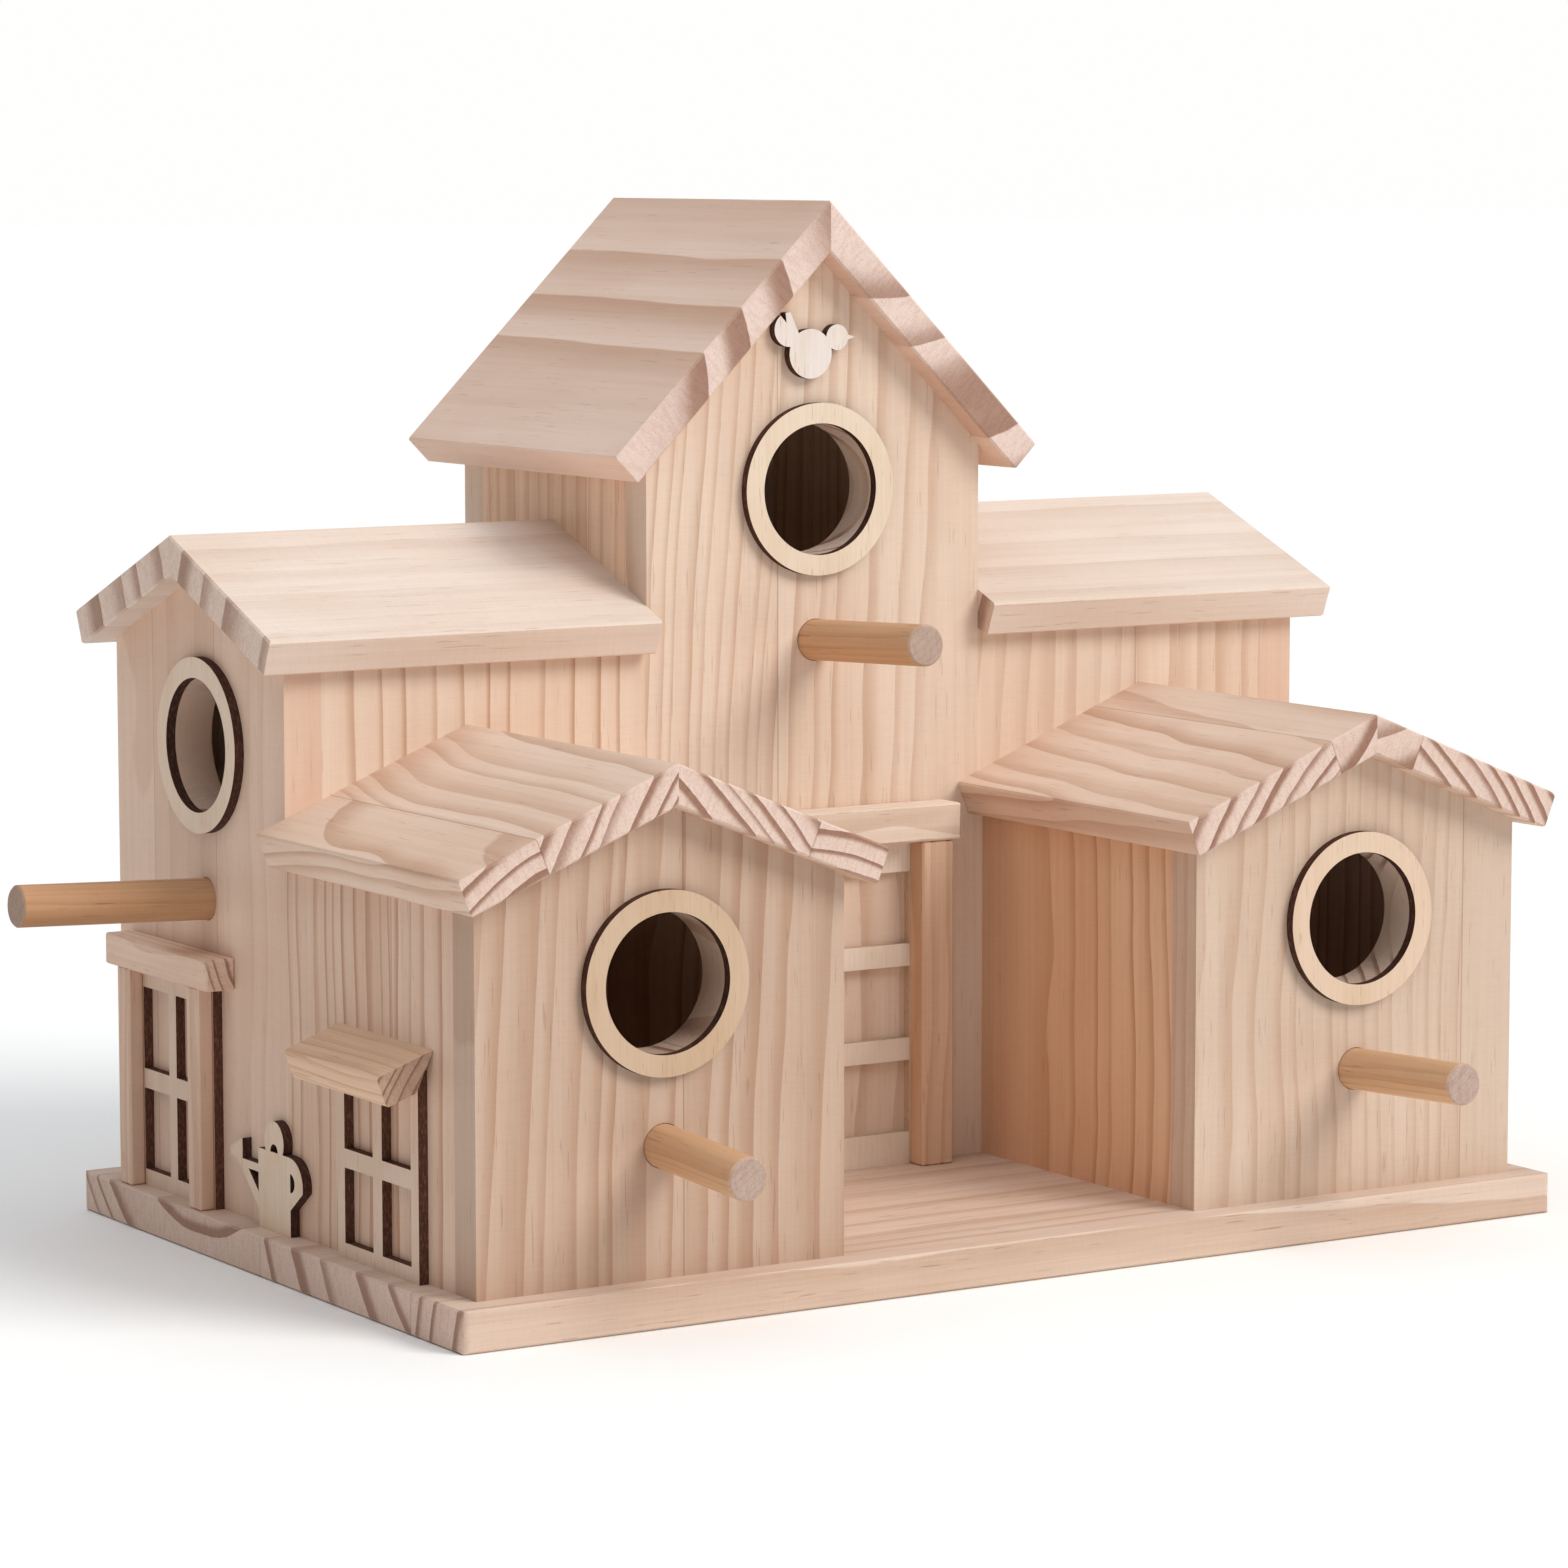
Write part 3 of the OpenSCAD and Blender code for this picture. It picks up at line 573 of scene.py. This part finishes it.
# Plywood rings, grids and cut-outs
GRID = {
    "Face": rgba(0.745, 0.565, 0.45),
    "Burnt": rgba(0.085, 0.032, 0.020),
    "Scorched": rgba(0.25, 0.105, 0.058),
}
SIDE_RING = rgba(0.78, 0.61, 0.48)
ply("front_left_ring", *FRONT, 70.0, Face=rgba(0.61, 0.44, 0.31))
ply("front_right_ring", *FRONT, 71.0, Face=rgba(0.75, 0.57, 0.43))
ply("tower_ring", *FRONT, 72.0, Face=rgba(0.82, 0.685, 0.55))
ply("back_left_ring", *LEFT, 73.0, Face=SIDE_RING)
ply("back_right_ring", *RIGHT, 74.0, Face=SIDE_RING)
ply(
    "porch_door_grid", *FRONT, 75.0, Face=rgba(0.88, 0.77, 0.66),
    Burnt=rgba(0.62, 0.47, 0.34), Scorched=rgba(0.50, 0.34, 0.22),
)
for name, out, seed in (("left", -X, 76.0), ("right", X, 86.0)):
    ply(name + "_door_grid", Y, out, seed, **GRID)
    ply(name + "_window_grid", Y, out, seed + 1, **GRID)
    ply(name + "_watering_can", Y, out, seed + 2, Face=rgba(0.81, 0.64, 0.50))
ply("bird_cutout", *FRONT, 90.0, Face=rgba(0.83, 0.76, 0.72))

# White floor
FLOOR_REACH = 20.0
FLOOR_DROP = 0.0002
floor_look = bpy.data.materials.new("floor")
floor_look.use_nodes = True
floor_shader = floor_look.node_tree.nodes["Principled BSDF"]
floor_shader.inputs["Base Color"].default_value = rgba(0.98, 0.98, 0.97)
floor_shader.inputs["Roughness"].default_value = 0.9
floor_shader.inputs["Specular IOR Level"].default_value = 0.0
floor_mesh = bpy.data.meshes.new("floor")
floor_corners = [(FLOOR_REACH * i, FLOOR_REACH * j, 0) for i, j in ((-1, -1), (1, -1), (1, 1), (-1, 1))]
floor_mesh.from_pydata(floor_corners, [], [(0, 1, 2, 3)])
floor_mesh.materials.append(floor_look)
floor = bpy.data.objects.new("floor", floor_mesh)
floor.location.z = -FLOOR_DROP
bpy.context.scene.collection.objects.link(floor)


# Studio lights
def sun(name, toward, strength, spread, color):
    """Soft light from one direction, with its spread in degrees."""
    light = bpy.data.lights.new(name, "SUN")
    light.energy = strength
    light.angle = math.radians(spread)
    light.color = color
    o = bpy.data.objects.new(name, light)
    o.rotation_euler = Vector(toward).to_track_quat("Z", "Y").to_euler()
    bpy.context.scene.collection.objects.link(o)


sun("key", toward=(0.45, -0.68, 0.62), strength=1.80, spread=30, color=(1.0, 0.965, 0.91))
sun("top", toward=(0.0, -0.10, 1.0), strength=1.25, spread=80, color=(0.92, 0.985, 1.06))

# Sky that lights the wood softly, and looks white to the camera
SKY = 0.32
BACKDROP = 1.0
world = bpy.data.worlds.new("studio")
bpy.context.scene.world = world
world.use_nodes = True
world.node_tree.nodes.clear()
w = Tree(world.node_tree)
path = w.add("ShaderNodeLightPath")
sky = w.add("ShaderNodeBackground")
sky.inputs["Color"].default_value = rgba(1.0, 0.995, 0.99)
w.put(sky.inputs["Strength"], w.math("MULTIPLY_ADD", path.outputs["Is Camera Ray"], BACKDROP - SKY, SKY))
w.put(w.add("ShaderNodeOutputWorld").inputs["Surface"], sky.outputs[0])

# Camera at the photograph's place: metres and degrees, and the focal length in pixels
CAMERA_AT = (-0.88169, -1.40222, 0.324467)
CAMERA_TURN = (-31.829, -6.619, -0.061)
PHOTO_WIDTH = 1568.0
FOCAL_LENGTH = 5457.864
SENSOR = 36.0
cam_data = bpy.data.cameras.new("camera")
cam = bpy.data.objects.new("camera", cam_data)
bpy.context.scene.collection.objects.link(cam)
yaw, pitch, roll = (math.radians(v) for v in CAMERA_TURN)
level = Vector((-math.sin(yaw), math.cos(yaw), 0.0))
forward = level * math.cos(pitch) + Z * math.sin(pitch)
right = Vector((math.cos(yaw), math.sin(yaw), 0.0))
up = right.cross(forward)
rolled_right = right * math.cos(roll) + up * math.sin(roll)
rolled_up = up * math.cos(roll) - right * math.sin(roll)
turn = Matrix((rolled_right, rolled_up, -forward)).transposed().to_4x4()
cam.matrix_world = Matrix.Translation(CAMERA_AT) @ turn
cam_data.sensor_width = SENSOR
cam_data.lens = SENSOR * FOCAL_LENGTH / PHOTO_WIDTH
cam_data.clip_start = 0.05
cam_data.clip_end = 50.0
bpy.context.scene.camera = cam

bpy.context.scene.view_settings.view_transform = "Standard"
